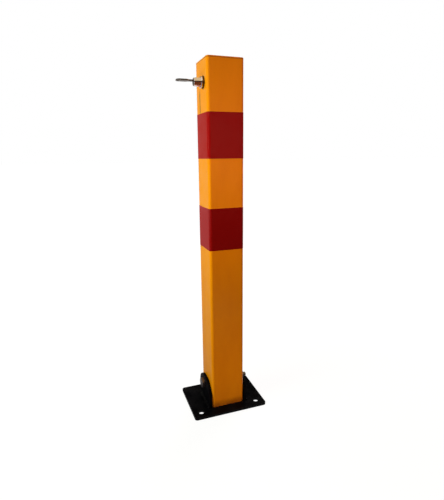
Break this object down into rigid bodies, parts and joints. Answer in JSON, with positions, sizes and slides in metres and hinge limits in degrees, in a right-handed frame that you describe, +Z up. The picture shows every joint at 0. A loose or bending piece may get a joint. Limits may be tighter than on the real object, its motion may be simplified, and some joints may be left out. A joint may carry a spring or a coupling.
{
  "type": "fold-down parking barrier post",
  "caption": "Square fold-down parking post on a bolted plate, with hinge ears, reflective bands and a key lock that works a locking rod.",
  "frame": {"origin": "middle of the base plate's underside, on the ground", "axes": "+Z up along the post, -Y the post's front, -X the side with the lock; the post folds down towards +Y"},
  "size_m": [0.1405, 0.1, 0.595],
  "materials": {
    "black_paint": "semi-gloss",
    "post_paint": "gloss powder coat",
    "band_film": "reflective film",
    "zinc": "zinc plated",
    "bare_steel": "bare",
    "chrome": "polished",
    "plug_metal": "nickel plated",
    "key_metal": "nickel plated",
    "brass": "stamped"
  },
  "bodies": {
    "base": {"base_plate": "black_paint", "left_ear": "black_paint", "right_ear": "black_paint", "base_welds": "black_paint", "keeper_ring": "black_paint", "pivot_bolt": "zinc", "pivot_washer": "zinc", "pivot_nut": "zinc"},
    "post": {"post_tube": "post_paint", "top_cap": "post_paint", "upper_band": "band_film", "lower_band": "band_film", "pivot_sleeve": "bare_steel", "lower_guide": "bare_steel", "upper_guide": "bare_steel", "lock_housing": "chrome", "lock_nut": "zinc"},
    "plug": {"lock_plug": "plug_metal", "lock_wafers": "brass", "key": "key_metal", "cam": "zinc", "crank_pin": "zinc", "cam_washer": "zinc", "cam_screw": "zinc"},
    "rod": {"locking_rod": "bare_steel", "lift_plate": "bare_steel"}
  },
  "joints": [
    {"name": "post_fold", "type": "hinge", "parent": "base", "child": "post", "pos_m": [0, 0.0045, 0.037], "axis": [-1, 0, 0], "range_deg": [0, 91]},
    {"name": "key_turn", "type": "hinge", "parent": "post", "child": "plug", "pos_m": [-0.03, -0.01, 0.56], "axis": [1, 0, 0], "range_deg": [0, 90]},
    {"name": "rod_slide", "type": "slide", "parent": "post", "child": "rod", "axis": [0, 0, -1], "range_m": [0, 0.01414]}
  ],
  "couplings": [
    {"joint": "key_turn", "follows": "rod_slide", "rad_per_m": 111.07}
  ]
}
